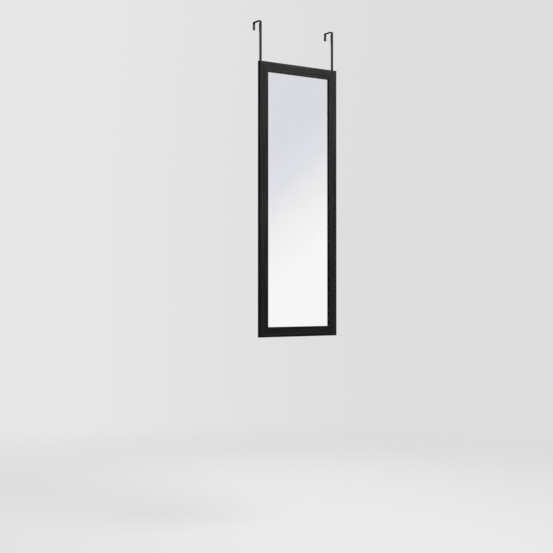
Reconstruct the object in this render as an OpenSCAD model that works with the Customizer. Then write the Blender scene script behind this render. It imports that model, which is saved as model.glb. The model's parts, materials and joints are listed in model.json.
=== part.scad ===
// Over the door mirror: framed glass hung on two bent steel straps, all sizes in mm.
// The origin is midway between the straps, level with the undersides of the top pads and in the
// plane of the backs of the front pads and bumpers.
// +Z is up, +X is to the right seen from the front, and the glass faces -Y.

/* [Glass and backing] */
// Width of the mirror glass
glass_w = 300; // [240:10:500]
// Height of the mirror glass
glass_h = 1000; // [600:10:1500]
// Thickness of the mirror glass
glass_t = 3; // [2:0.5:4]
// Width of the ground seam along the glass edges
glass_seam = 0.5; // [0.2:0.1:0.8]
// Thickness of the foam liner behind the glass
liner_t = 1; // [0.5:0.25:2]
// Thickness of the fibreboard back
board_t = 3; // [2:0.5:4]
// Play of glass, liner and board in the rebate, each side
rebate_play = 1; // [0.5:0.25:1.5]

/* [Moulding] */
// Width of the moulding's face
face_w = 39; // [32:1:60]
// Depth of the moulding from front to back
frame_d = 15; // [14:0.5:22]
// Width of the lip in front of the rebate
lip_w = 5; // [3:0.5:6]
// Thickness of the lip in front of the glass
lip_t = 5; // [3.5:0.5:6.5]
// Distance from the outer side to the crest of the face
crest_w = 10; // [6:1:14]
// Drop of the rounded shoulder from the crest to the outer side
shoulder_drop = 2.5; // [1.5:0.25:4]
// Depth of the shallow scoop between the crest and the lip
scoop_depth = 0.6; // [0.3:0.1:1.2]
// Radius of the eased outer edge
outer_edge_r = 1.5; // [0.5:0.25:2]
// Radius of the eased edge round the glass
inner_edge_r = 1.2; // [0.5:0.1:2]

/* [Hooks] */
// Thickness that the hooks go over
door_t = 40; // [34:1:50]
// Play between that thickness and the rear pads
door_play = 1; // [0.5:0.25:4]
// Height of the top pads' undersides above the top of the frame
drop = 158; // [140:1:260]
// Width of the steel strap
strap_w = 11; // [10:0.5:18]
// Thickness of the steel strap
strap_t = 1.5; // [1:0.25:2.5]
// Distance from the frame's outer side to the middle of a strap
strap_inset = 12.5; // [11:0.5:20]
// Inner radius of the bend between the rising strap and its arm
front_bend_r = 6; // [2:0.5:7]
// Inner radius of the bend between the arm and the rear leg
rear_bend_r = 3; // [1:0.5:5]
// Length of the rear leg below the arm
leg_l = 30; // [22:1:50]
// Corner radius of the strap's two ends
strap_corner_r = 3; // [1:0.5:4.5]
// Height adjustment of each hook
travel = 60; // [20:5:80]
// Strap left above the slot, behind the frame
slot_cover = 8; // [5:1:20]
// Strap left below the slot
foot_margin = 8; // [6:1:15]
// Play of a clamp screw in the slot, each side
slot_play = 0.35; // [0.2:0.05:0.6]

/* [Pads and bumpers] */
// Thickness of the foam pads on the backs of the rising straps
front_pad_t = 3; // [2.75:0.25:5]
// Length of the foam pads on the backs of the rising straps
front_pad_l = 40; // [20:1:60]
// Distance of those pads below the undersides of the top pads
front_pad_z = 8; // [5:1:15]
// Thickness of the thin pads on the arm and the leg
thin_pad_t = 1.5; // [1:0.25:3]
// Bare strap left round the edge of every pad
pad_margin = 0.75; // [0.5:0.25:1.5]
// Corner radius of the pads
pad_corner_r = 1.5; // [0.5:0.25:2.5]
// Diameter of the round bumpers
bumper_d = 12; // [8:0.5:18]
// Radius of the bumpers' rounded rim
bumper_rim_r = 1; // [0.5:0.25:1.5]
// Height of the bumpers' middle above the frame's bottom
bumper_z = 52; // [45:1:120]

/* [Fasteners] */
// Shank diameter of the clamp screws
screw_d = 3.5; // [3:0.25:4]
// Length of the clamp screws below the head
screw_l = 11; // [9:0.5:12.5]
// Length of the clamp screws' point
screw_point_l = 3; // [2:0.5:4]
// Head diameter of the clamp screws
head_d = 7; // [6:0.25:8]
// Head height of the clamp screws
head_h = 1.8; // [1.4:0.1:1.9]
// Height of the straight rim below a head's dome
head_rim_h = 0.6; // [0.4:0.1:0.9]
// Width of the cross recess in a head
recess_w = 0.9; // [0.6:0.1:1.2]
// Depth of the cross recess in a head
recess_d = 1; // [0.6:0.1:1.2]
// Distance between the two clamp screws of a hook
screw_pitch = 30; // [20:1:50]
// Outer diameter of the clamp washers
washer_d = 9; // [8:0.25:10]
// Thickness of the clamp washers
washer_t = 0.7; // [0.5:0.1:0.8]
// Play of a screw in its washer, each side
washer_play = 0.2; // [0.1:0.05:0.3]
// Length of a corner nail's two legs
nail_leg = 7; // [5:0.5:9]
// Thickness of the corner nails' steel
nail_t = 0.8; // [0.5:0.1:1.2]
// Depth of the corner nails in the wood
nail_h = 8; // [5:0.5:10]
// Corner nails across one mitre
nail_count = 2; // [1:1:3]
// Length of the retaining points
point_l = 14; // [12:0.5:18]
// Width of the retaining points
point_w = 6; // [4:0.5:8]
// Thickness of the retaining points
point_t = 0.5; // [0.3:0.1:0.8]
// Length of a retaining point that is driven into the wood
point_bite = 6; // [4:0.5:8]
// Retaining points along each stile
stile_points = 4; // [2:1:8]
// Retaining points along each rail
rail_points = 2; // [1:1:4]
// Clearance of every nail, point and screw in the wood
wood_fit = 0.05; // [0.02:0.01:0.1]

/* [Hidden] */

LEFT = -1;
RIGHT = 1;
FRAME_BLACK = "#2a2a2a";
STEEL_BLACK = "#3a3a3a";
STEEL = "#b9bbbe";
PAD_GREY = "#4a4a4a";

// Facets of small and of large circles, and how far a cutting shape runs past what it cuts
$fn = 64;
fine = 720;
past = 1;

// Frame, seen from the front
solid_w = face_w - lip_w;
frame_w = glass_w + 2 * rebate_play + 2 * solid_w;
frame_h = glass_h + 2 * rebate_play + 2 * solid_w;
frame_x = frame_w / 2;
top_z = -drop;
bottom_z = top_z - frame_h;
middle_z = (top_z + bottom_z) / 2;

// Layers from the backs of the front pads, at y = 0, towards the viewer
strap_back_y = -front_pad_t;
back_y = strap_back_y - strap_t;
front_y = back_y - frame_d;
glass_y = front_y + lip_t;
liner_y = glass_y + glass_t;
board_y = liner_y + liner_t;
board_back_y = board_y + board_t;

// Moulding profile: one large arc for the shoulder and one for the scoop
shoulder_r = (crest_w * crest_w + shoulder_drop * shoulder_drop) / (2 * shoulder_drop);
scoop_half = (face_w - crest_w) / 2;
scoop_r = (scoop_half * scoop_half + scoop_depth * scoop_depth) / (2 * scoop_depth);
shoulder_c = [crest_w, frame_d - shoulder_r];
edge_reach = shoulder_r - outer_edge_r;
edge_run = crest_w - outer_edge_r;
edge_c = [outer_edge_r, shoulder_c[1] + sqrt(edge_reach * edge_reach - edge_run * edge_run)];
edge_angle = atan2(edge_c[1] - shoulder_c[1], edge_c[0] - shoulder_c[0]);

// Hooks: the strap, its slot and its screws
strap_x = frame_x - strap_inset;
arm_z = thin_pad_t;
leg_y = door_t + door_play + thin_pad_t;
leg_end_z = arm_z - leg_l;
slot_w = screw_d + 2 * slot_play;
slot_top_z = top_z - slot_cover - slot_w / 2;
upper_screw_z = slot_top_z - travel;
lower_screw_z = upper_screw_z - screw_pitch;
foot_z = lower_screw_z - slot_w / 2 - foot_margin;
seat_y = strap_back_y + washer_t;
pad_w = strap_w - 2 * pad_margin;

// ---- Moulding ----

// Takes off what lies outside a circle between two directions from its centre
module ease(centre, r, from, to) {
    reach = 3 * r;
    middle = (from + to) / 2;
    translate(centre) difference() {
        polygon([[0, 0],
            reach * [cos(from), sin(from)],
            reach * [cos(middle), sin(middle)],
            reach * [cos(to), sin(to)]]);
        circle(r);
    }
}

// Section of the moulding: x runs in from the outer side, y runs forward from the back
module section() {
    difference() {
        square([face_w, frame_d]);
        // rounded shoulder, from the crest down to the outer side
        difference() {
            translate([-past, shoulder_c[1]]) square([crest_w + past, shoulder_r + past]);
            translate(shoulder_c) circle(shoulder_r, $fn = fine);
        }
        ease(edge_c, outer_edge_r, 180, edge_angle);
        // shallow scoop, from the crest to the lip
        translate([crest_w + scoop_half, frame_d - scoop_depth + scoop_r]) circle(scoop_r, $fn = fine);
        ease([face_w - inner_edge_r, frame_d - inner_edge_r], inner_edge_r, 0, 90);
        // rebate for the glass and what backs it
        translate([solid_w, -past]) square([lip_w + past, frame_d - lip_t + past]);
    }
}

// A length of moulding along +X, its outer side at z = 0 and its back at y = 0, mitred at both ends
module moulding(length) {
    intersection() {
        rotate([0, 90, 0]) linear_extrude(length) mirror([0, 1]) section();
        translate([0, past, 0]) rotate([90, 0, 0]) linear_extrude(frame_d + 2 * past) polygon([
            [-past, past], [length + past, past],
            [length - face_w - past, -face_w - past], [face_w + past, -face_w - past]]);
    }
}

// A length of moulding with the holes for all that is driven into it
module drilled() {
    difference() {
        children();
        nails(wood_fit);
        points(wood_fit);
        for (side = [LEFT, RIGHT]) screw_holes(side);
    }
}

module top_rail() {
    color(FRAME_BLACK) drilled()
        translate([-frame_x, back_y, top_z]) moulding(frame_w);
}

module bottom_rail() {
    color(FRAME_BLACK) drilled()
        translate([frame_x, back_y, bottom_z]) rotate([0, 180, 0]) moulding(frame_w);
}

module left_stile() {
    color(FRAME_BLACK) drilled()
        translate([-frame_x, back_y, bottom_z]) rotate([0, -90, 0]) moulding(frame_h);
}

module right_stile() {
    color(FRAME_BLACK) drilled()
        translate([frame_x, back_y, top_z]) rotate([0, 90, 0]) moulding(frame_h);
}

// ---- What is driven into the moulding ----

// One V-shaped nail with its apex at the origin, legs towards +X and -Z, driven in from y = 0
module nail(grow) {
    across = nail_t + 2 * grow;
    along = nail_leg + nail_t / 2 + 2 * grow;
    edge = -nail_t / 2 - grow;
    translate([edge, -nail_h - grow, edge]) {
        cube([along, nail_h + grow, across]);
        translate([0, 0, across - along]) cube([across, nail_h + grow, along]);
    }
}

// Nails across the four mitres; grow widens them into their holes
module nails(grow) {
    for (side = [0, 1], end = [0, 1]) mirror([side, 0, 0])
        translate([-frame_x, back_y, end == 0 ? top_z : bottom_z]) mirror([0, 0, end])
            for (n = [1:nail_count]) {
                step = solid_w * n / (nail_count + 1);
                translate([step, 0, -step]) nail(grow);
            }
}

// One retaining point: it points along -X into the wood and lies flat on the board
module point(grow) {
    half = point_w / 2 + grow;
    translate([0, point_t + grow, 0]) rotate([90, 0, 0]) linear_extrude(point_t + 2 * grow)
        polygon([[-point_bite - grow, 0], [0, -half], [point_l - point_bite, -half],
            [point_l - point_bite, half], [0, half]]);
}

// Retaining points round the rebate; grow widens them into their slots
module points(grow) {
    rebate_w = frame_w - 2 * solid_w;
    rebate_h = frame_h - 2 * solid_w;
    translate([0, board_back_y, middle_z]) for (side = [0, 1]) {
        mirror([side, 0, 0]) for (n = [1:stile_points])
            translate([-rebate_w / 2, 0, rebate_h * ((n - 0.5) / stile_points - 0.5)]) point(grow);
        mirror([0, 0, side]) for (n = [1:rail_points])
            translate([rebate_w * ((n - 0.5) / rail_points - 0.5), 0, rebate_h / 2])
                rotate([0, 90, 0]) point(grow);
    }
}

module corner_nails() {
    color(STEEL) nails(0);
}

module retaining_points() {
    color(STEEL) points(0);
}

// ---- Glass and backing ----

// A sheet that fills the rebate but for its play, with its front at the given y
module sheet(front, thickness) {
    width = frame_w - 2 * solid_w - 2 * rebate_play;
    height = frame_h - 2 * solid_w - 2 * rebate_play;
    translate([-width / 2, front, middle_z - height / 2]) cube([width, thickness, height]);
}

// Section through the glass, with its ground seams
module seamed(width) {
    half = width / 2;
    polygon([[-half, glass_seam], [-half + glass_seam, 0], [half - glass_seam, 0], [half, glass_seam],
        [half, glass_t - glass_seam], [half - glass_seam, glass_t],
        [-half + glass_seam, glass_t], [-half, glass_t - glass_seam]]);
}

module mirror_glass() {
    color("#dcdde2") translate([0, glass_y, middle_z]) intersection() {
        translate([0, 0, -glass_h / 2]) linear_extrude(glass_h) seamed(glass_w);
        rotate([0, -90, 0]) translate([0, 0, -glass_w / 2]) linear_extrude(glass_w) seamed(glass_h);
    }
}

module foam_liner() {
    color("#f2f2f0") sheet(liner_y, liner_t);
}

module backing_board() {
    color("#9a7b58") sheet(board_y, board_t);
}

// ---- Hooks ----

// A quarter of a bent strap, in the quarter between +X and +Y turned by angle
module bend(r, angle) {
    rotate(angle) intersection() {
        difference() {
            circle(r + strap_t);
            circle(r);
        }
        square(r + strap_t + past);
    }
}

// The strap seen from its side: x runs to the back and y runs up
module strap_side() {
    front_c = [strap_back_y + front_bend_r, arm_z - front_bend_r];
    rear_c = [leg_y - rear_bend_r, arm_z - rear_bend_r];
    translate([back_y, foot_z]) square([strap_t, front_c[1] - foot_z]);
    translate(front_c) bend(front_bend_r, 90);
    translate([front_c[0], arm_z]) square([rear_c[0] - front_c[0], strap_t]);
    translate(rear_c) bend(rear_bend_r, 0);
    translate([leg_y, leg_end_z]) square([strap_t, rear_c[1] - leg_end_z]);
}

// A rectangle from the origin up, as wide as the strap, with round lower corners
module strap_end(height) {
    inner = strap_w / 2 - strap_corner_r;
    translate([-inner, 0]) square([2 * inner, height]);
    translate([-strap_w / 2, strap_corner_r]) square([strap_w, height - strap_corner_r]);
    for (side = [LEFT, RIGHT]) translate([side * inner, strap_corner_r]) circle(strap_corner_r);
}

// Everything between two planes square to Y, with the outline below it drawn in X and Z
module through(from, to) {
    translate([0, to, 0]) rotate([90, 0, 0]) linear_extrude(to - from) children();
}

module slot() {
    for (z = [lower_screw_z, slot_top_z]) translate([0, z]) circle(slot_w / 2);
    translate([-slot_w / 2, lower_screw_z]) square([slot_w, slot_top_z - lower_screw_z]);
}

// Bent strap with rounded ends and the slot in its foot
module hook(side) {
    middle_y = door_t / 2;
    above = arm_z + strap_t + past;
    color(STEEL_BLACK) translate([side * strap_x, 0, 0]) difference() {
        intersection() {
            translate([-strap_w / 2, 0, 0]) rotate([90, 0, 90]) linear_extrude(strap_w) strap_side();
            union() {
                through(back_y - past, middle_y + past) translate([0, foot_z]) strap_end(above - foot_z);
                through(middle_y, leg_y + strap_t + past)
                    translate([0, leg_end_z]) strap_end(above - leg_end_z);
            }
        }
        through(back_y - past, strap_back_y + past) slot();
    }
}

module left_hook() {
    hook(LEFT);
}

module right_hook() {
    hook(RIGHT);
}

// ---- Pads and bumpers ----

// A flat pad as wide as the strap allows, from the origin up, with round corners
module pad_face(length) {
    inner = pad_w / 2 - pad_corner_r;
    translate([-inner, 0]) square([2 * inner, length]);
    translate([-pad_w / 2, pad_corner_r]) square([pad_w, length - 2 * pad_corner_r]);
    for (x = [-inner, inner], y = [pad_corner_r, length - pad_corner_r])
        translate([x, y]) circle(pad_corner_r);
}

module front_pad(side) {
    color(PAD_GREY) translate([side * strap_x, 0, -front_pad_z - front_pad_l])
        through(strap_back_y, 0) pad_face(front_pad_l);
}

module top_pad(side) {
    from = strap_back_y + front_bend_r + pad_margin;
    to = leg_y - rear_bend_r - pad_margin;
    color(PAD_GREY) translate([side * strap_x, from, 0]) linear_extrude(thin_pad_t) pad_face(to - from);
}

module rear_pad(side) {
    from = leg_end_z + strap_corner_r;
    to = arm_z - rear_bend_r - pad_margin;
    color(PAD_GREY) translate([side * strap_x, 0, from])
        through(leg_y - thin_pad_t, leg_y) pad_face(to - from);
}

module left_front_pad() {
    front_pad(LEFT);
}

module right_front_pad() {
    front_pad(RIGHT);
}

module left_top_pad() {
    top_pad(LEFT);
}

module right_top_pad() {
    top_pad(RIGHT);
}

module left_rear_pad() {
    rear_pad(LEFT);
}

module right_rear_pad() {
    rear_pad(RIGHT);
}

// A round bumper on the back of a stile, just as high as strap and front pad
module bumper(side) {
    r = bumper_d / 2;
    color("#1c1c1c") translate([side * strap_x, back_y, bottom_z + bumper_z]) rotate([-90, 0, 0])
        rotate_extrude() {
            square([r - bumper_rim_r, -back_y]);
            square([r, -back_y - bumper_rim_r]);
            translate([r - bumper_rim_r, -back_y - bumper_rim_r]) intersection() {
                circle(bumper_rim_r);
                square(bumper_rim_r);
            }
        }
}

module left_bumper() {
    bumper(LEFT);
}

module right_bumper() {
    bumper(RIGHT);
}

// ---- Clamp screws ----

// Repeats what follows at a hook's two screws, turned so that +Z points to the back
module at_screws(side) {
    for (z = [upper_screw_z, lower_screw_z])
        translate([side * strap_x, seat_y, z]) rotate([-90, 0, 0]) children();
}

module shank(r, length) {
    translate([0, 0, -length + screw_point_l]) cylinder(h = length - screw_point_l, r = r);
    translate([0, 0, -length]) cylinder(h = screw_point_l, r1 = r / 5, r2 = r);
}

// Domed head with a cross recess
module screw_head() {
    r = head_d / 2;
    dome_h = head_h - head_rim_h;
    dome_r = (r * r + dome_h * dome_h) / (2 * dome_h);
    difference() {
        intersection() {
            cylinder(h = head_h, r = r);
            translate([0, 0, head_h - dome_r]) sphere(dome_r);
        }
        for (turn = [0, 90]) rotate(turn)
            translate([-head_d / 4, -recess_w / 2, head_h - recess_d]) cube([head_d / 2, recess_w, head_h]);
    }
}

module clamp_screws(side) {
    color(STEEL) at_screws(side) {
        screw_head();
        shank(screw_d / 2, screw_l);
    }
}

// Holes that the clamp screws leave in a stile
module screw_holes(side) {
    at_screws(side) translate([0, 0, -screw_l - past])
        cylinder(h = screw_l + past, r = screw_d / 2 + wood_fit);
}

module clamp_washers(side) {
    color(STEEL) at_screws(side) translate([0, 0, -washer_t]) difference() {
        cylinder(h = washer_t, r = washer_d / 2);
        translate([0, 0, -past]) cylinder(h = washer_t + 2 * past, r = screw_d / 2 + washer_play);
    }
}

module left_clamp_screws() {
    clamp_screws(LEFT);
}

module right_clamp_screws() {
    clamp_screws(RIGHT);
}

module left_clamp_washers() {
    clamp_washers(LEFT);
}

module right_clamp_washers() {
    clamp_washers(RIGHT);
}

top_rail();
bottom_rail();
left_stile();
right_stile();
corner_nails();
mirror_glass();
foam_liner();
backing_board();
retaining_points();
left_hook();
right_hook();
left_front_pad();
right_front_pad();
left_top_pad();
right_top_pad();
left_rear_pad();
right_rear_pad();
left_clamp_screws();
right_clamp_screws();
left_clamp_washers();
right_clamp_washers();
left_bumper();
right_bumper();
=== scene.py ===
"""Looks of a tall framed mirror that hangs from two bent steel straps.

All sizes are in metres, in the model's own frame: the origin is midway between the straps, level
with the undersides of their arms' pads and in the plane of the backs of their front pads. +Z is up,
+X is to the right seen from the front, and the glass faces -Y.
"""

import json
import math

import bmesh
import bpy
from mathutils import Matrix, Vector


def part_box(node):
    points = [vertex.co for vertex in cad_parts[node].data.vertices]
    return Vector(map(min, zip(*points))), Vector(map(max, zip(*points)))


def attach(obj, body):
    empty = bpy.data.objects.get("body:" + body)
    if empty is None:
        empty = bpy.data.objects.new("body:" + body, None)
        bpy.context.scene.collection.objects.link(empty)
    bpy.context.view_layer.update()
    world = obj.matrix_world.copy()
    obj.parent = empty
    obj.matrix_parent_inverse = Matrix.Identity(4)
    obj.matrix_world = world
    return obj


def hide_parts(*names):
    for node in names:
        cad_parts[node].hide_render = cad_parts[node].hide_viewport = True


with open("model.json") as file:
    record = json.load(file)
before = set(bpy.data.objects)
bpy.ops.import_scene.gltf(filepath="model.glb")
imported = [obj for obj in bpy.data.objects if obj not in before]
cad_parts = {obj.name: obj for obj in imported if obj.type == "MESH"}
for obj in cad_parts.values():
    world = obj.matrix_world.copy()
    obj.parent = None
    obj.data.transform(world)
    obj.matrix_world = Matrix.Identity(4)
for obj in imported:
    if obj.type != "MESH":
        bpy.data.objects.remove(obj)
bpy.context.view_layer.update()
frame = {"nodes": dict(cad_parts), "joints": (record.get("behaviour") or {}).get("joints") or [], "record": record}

MM = 0.001
# Within NEAR a point counts as in its place, and points within MERGE are one
NEAR = 0.02 * MM
MERGE = NEAR / 10
# A face looks along an axis if its unit normal has more than this in it
FACING = 0.9
# Angles in degrees: shading runs on smoothly below the first three, faces are one plane below the
# fourth, and edges are eased above the last
HARD_ANGLE = 35.0
STRAP_ANGLE = 50.0
SOFT_ANGLE = 60.0
FLAT_ANGLE = 0.5
SHARP_ANGLE = 60.0
LEFT = -1
RIGHT = 1
SIDES = {"left": LEFT, "right": RIGHT}

# ---- Camera, studio and floor: sizes and light ----

CAMERA_PLACE = (-2.4587, -3.5392, -1.0411)
CAMERA_YAW = math.radians(33.734)
CAMERA_TILT = math.radians(0.661)
LENS = 70.85
SENSOR = 36.0

FLOOR_Z = -2.04
FLOOR_RADIUS = 4.0
FLOOR_FADE_FROM = 1.6
FLOOR_SIDES = 96
FLOOR_GLOW = (0.60, 0.60, 0.60, 1.0)
FLOOR_GREY = (0.22, 0.22, 0.22, 1.0)

LAMP_AIM = (0.0, 0.0, -0.7)
KEY_PLACE = (0.25, -1.15, 0.35)
KEY_SIZE = 0.7
KEY_POWER = 43.0
FILL_PLACE = (-0.1, -2.7, -1.0)
FILL_SIZE = 1.6
FILL_POWER = 4.5
BACK_PLACE = (0.9, 1.9, 0.3)
BACK_SIZE = 1.2
BACK_POWER = 38.0

# Linear colours of the surroundings: seen ones from left to right, and soft light from all round
PALE_STOPS = [(0.40, (0.80, 0.80, 0.80)), (0.62, (0.73, 0.73, 0.735))]
SOFT_FRONT = (0.50, -0.72, 0.48)
SOFT_FRONT_FROM = -0.3
SOFT_BACK = (0.60, 0.70, 0.39)
SOFT_BACK_FROM = 0.2
SOFT_LOW = 0.02
SOFT_HIGH = 0.24
SOFT_BEHIND = 0.5
# What the glass mirrors: near white below, lavender grey above, along a slope that falls to the right
SKY_STOPS = [(0.020, (0.99, 0.98, 0.982)), (0.065, (0.925, 0.912, 0.915)),
             (0.090, (0.860, 0.855, 0.875)), (0.110, (0.80, 0.798, 0.848)),
             (0.150, (0.750, 0.750, 0.795))]
SKY_SHIFT = 0.05
SKY_SLOPE = 1.1
SKY_CENTRE = 0.57
SKY_REACH = 0.08

# ---- Sizes of the object ----

RAIL_LOW, RAIL_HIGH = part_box("top_rail")
STILE_LOW, STILE_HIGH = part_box("right_stile")
BOARD_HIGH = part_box("backing_board")[1]
GLASS_LOW, GLASS_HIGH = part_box("mirror_glass")
LINER_LOW, LINER_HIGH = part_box("foam_liner")

# Moulding
FRAME_X = RAIL_HIGH.x
TOP_Z = STILE_HIGH.z
BOTTOM_Z = STILE_LOW.z
MIDDLE_Z = (TOP_Z + BOTTOM_Z) / 2
BACK_Y = RAIL_HIGH.y
FRAME_D = BACK_Y - RAIL_LOW.y
FACE_W = RAIL_HIGH.z - RAIL_LOW.z
LIP_T = GLASS_LOW.y - RAIL_LOW.y
REBATE_PLAY = 1 * MM
SOLID_W = FRAME_X - BOARD_HIGH.x - REBATE_PLAY
LIP_W = FACE_W - SOLID_W
CREST_W = 10 * MM
SHOULDER_DROP = 2.5 * MM
SCOOP_DEPTH = 0.6 * MM
SHOULDER_R = (CREST_W ** 2 + SHOULDER_DROP ** 2) / (2 * SHOULDER_DROP)
SCOOP_HALF = (FACE_W - CREST_W) / 2
SCOOP_R = (SCOOP_HALF ** 2 + SCOOP_DEPTH ** 2) / (2 * SCOOP_DEPTH)
OUTER_EASE = 0.9 * MM
ARRIS_Y = RAIL_LOW.y + SHOULDER_DROP
INNER_EDGE_R = 1.2 * MM
BACK_EASE = 0.5 * MM
JOINT_EASE = 0.12 * MM
FACE_CUTS = 36
INNER_EDGE_STEPS = 6
OUTER_EASE_STEPS = 4
BACK_EASE_STEPS = 3
OVERSPRAY = 0.9 * MM
# Reach of the painted highlight of lighter lacquer, around the crest and in from the outer side
CREST_HIGHLIGHT_W = 2.2 * MM
ARRIS_HIGHLIGHT_REACH = 4 * MM
# Clearance round what is driven in, the nail slots' shift off the mitres, and the cutters' overrun
WOOD_FIT = 0.05 * MM
MITRE_PLAY = 0.01 * MM
RUN_OUT = 1 * MM
DRILL_STEPS = 24
SIX_WAYS = [Vector(way) for way in ((1, 0, 0), (-1, 0, 0), (0, 1, 0), (0, -1, 0), (0, 0, 1),
                                    (0, 0, -1))]

# Straps
STRAP_LOW, STRAP_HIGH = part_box("right_hook")
FACE_PAD_LOW, FACE_PAD_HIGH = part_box("right_front_pad")
ARM_PAD_LOW, ARM_PAD_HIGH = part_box("right_top_pad")
LEG_PAD_LOW, LEG_PAD_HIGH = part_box("right_rear_pad")
STRAP_X = (STRAP_LOW.x + STRAP_HIGH.x) / 2
STRAP_W = STRAP_HIGH.x - STRAP_LOW.x
STRAP_BACK_Y = FACE_PAD_LOW.y
STRAP_T = STRAP_BACK_Y - STRAP_LOW.y
FOOT_Z = STRAP_LOW.z
ARM_Z = ARM_PAD_HIGH.z
LEG_Y = LEG_PAD_HIGH.y
STRAP_CORNER_R = 3 * MM
CORNER_STEPS = 8
LEG_END_Z = LEG_PAD_LOW.z - STRAP_CORNER_R
FRONT_BEND_R = 6 * MM
REAR_BEND_R = 3 * MM
STRAP_EASE = 0.3 * MM
STRAP_EASE_STEPS = 3
UNEASED = 0.97
BEND_CUTS = 12
FRONT_BEND_Y = STRAP_BACK_Y + FRONT_BEND_R
FRONT_BEND_Z = ARM_Z - FRONT_BEND_R
REAR_BEND_Y = LEG_Y - REAR_BEND_R
REAR_BEND_Z = ARM_Z - REAR_BEND_R
FRONT_ARC = FRONT_BEND_R * math.pi / 2
REAR_ARC = REAR_BEND_R * math.pi / 2
ARM_RUN = REAR_BEND_Y - FRONT_BEND_Y
BLANK_L = FRONT_BEND_Z - FOOT_Z + FRONT_ARC + ARM_RUN + REAR_ARC + REAR_BEND_Z - LEG_END_Z

# Screws, washers and slot
SCREW_LOW, SCREW_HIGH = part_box("right_clamp_screws")
WASHER_LOW, WASHER_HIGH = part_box("right_clamp_washers")
HEAD_R = (SCREW_HIGH.x - SCREW_LOW.x) / 2
SEAT_Y = WASHER_HIGH.y
HEAD_H = SCREW_HIGH.y - SEAT_Y
HEAD_RIM_H = 0.6 * MM
HEAD_EASE = 0.1 * MM
SCREW_L = SEAT_Y - SCREW_LOW.y
SCREW_R = 1.75 * MM
SCREW_POINT_L = 3 * MM
SCREW_POINT_R = 0.02 * MM
THREAD_PITCH = 1.2 * MM
THREAD_DEPTH = 0.4 * MM
THREAD_WIDTH = 0.55
THREAD_STEPS = 90
SCREW_STEPS = 28
ROUND_STEPS = 48
ARC_STEPS = 8
RECESS_L = 4.2 * MM
RECESS_W = 1.1 * MM
RECESS_D = 1.1 * MM
RECESS_TAPER = 0.65
SCREW_ZS = (SCREW_HIGH.z - HEAD_R, SCREW_LOW.z + HEAD_R)
WASHER_R = (WASHER_HIGH.x - WASHER_LOW.x) / 2
WASHER_T = SEAT_Y - WASHER_LOW.y
WASHER_HOLE_R = SCREW_R + 0.2 * MM
WASHER_EASE = 0.15 * MM
SLOT_W = 4.2 * MM
TRAVEL = -frame["joints"][0]["range_m"][0]

# Glass, foam and rubber
GLASS_SEAT = 0.05 * MM
GLASS_ARRIS = 0.5 * MM
PAD_W = FACE_PAD_HIGH.x - FACE_PAD_LOW.x
PAD_CORNER_R = 1.5 * MM
PAD_SUPPORT = 0.35 * MM
PAD_BULGE = 0.2 * MM
PAD_LEVELS = (0.25, 0.75)
PAD_ROUNDING = 2
LINER_EASE_STEPS = 2
BUMPER_LOW, BUMPER_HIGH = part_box("right_bumper")
BUMPER_R = (BUMPER_HIGH.x - BUMPER_LOW.x) / 2
BUMPER_Z = (BUMPER_LOW.z + BUMPER_HIGH.z) / 2
BUMPER_T = BUMPER_HIGH.y - BUMPER_LOW.y
BUMPER_FLAT_R = BUMPER_R - 1 * MM
BUMPER_FOOT = 0.6 * MM
BUMPER_DRAFT = 0.2 * MM


# ---- Node helpers ----

def put(tree, kind, inputs=None, **settings):
    """Adds a shader node; an input is linked when it is given a socket and set otherwise."""
    node = tree.nodes.new("ShaderNode" + kind)
    for name, value in settings.items():
        setattr(node, name, value)
    for key, value in (inputs or {}).items():
        if isinstance(value, bpy.types.NodeSocket):
            tree.links.new(value, node.inputs[key])
        else:
            node.inputs[key].default_value = value
    return node


def calc(tree, operation, *values, clamp=False):
    """A Math node on one to three values or sockets, and its result."""
    node = put(tree, "Math", dict(enumerate(values)), operation=operation, use_clamp=clamp)
    return node.outputs[0]


def mix(tree, factor, first, second):
    """Mixes two colours, each a socket or three linear values."""
    colours = [c if isinstance(c, bpy.types.NodeSocket) else (*c, 1.0) for c in (first, second)]
    inputs = {0: factor, 6: colours[0], 7: colours[1]}
    return put(tree, "Mix", inputs, data_type="RGBA").outputs[2]


def spread(tree, value, low, high, to_low=0.0, to_high=1.0):
    """Maps a value smoothly from one range to another and stops at its ends."""
    inputs = {"Value": value, "From Min": low, "From Max": high, "To Min": to_low, "To Max": to_high}
    return put(tree, "MapRange", inputs, interpolation_type="SMOOTHSTEP").outputs[0]


def noise(tree, vector, scale, detail=2.0, roughness=0.5):
    inputs = {"Vector": vector, "Scale": scale, "Detail": detail, "Roughness": roughness}
    return put(tree, "TexNoise", inputs).outputs[0]


def ramp(tree, factor, stops):
    """A colour ramp through (place, colour) stops."""
    node = put(tree, "ValToRGB", {"Fac": factor})
    elements = node.color_ramp.elements
    while len(elements) < len(stops):
        elements.new(1.0)
    for element, (place, colour) in zip(elements, stops):
        element.position = place
        element.color = (*colour, 1.0)
    return node.outputs["Color"]


# ---- Camera, world, lamps and floor ----

def set_colours():
    """Plain display colours, so that a written colour shows as written."""
    bpy.context.scene.view_settings.view_transform = "Standard"


def set_camera():
    turn = (math.pi / 2 + CAMERA_TILT, 0.0, -CAMERA_YAW)
    bpy.ops.object.camera_add(location=CAMERA_PLACE, rotation=turn)
    camera = bpy.context.object
    camera.data.sensor_width = SENSOR
    camera.data.lens = LENS
    bpy.context.scene.camera = camera


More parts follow.
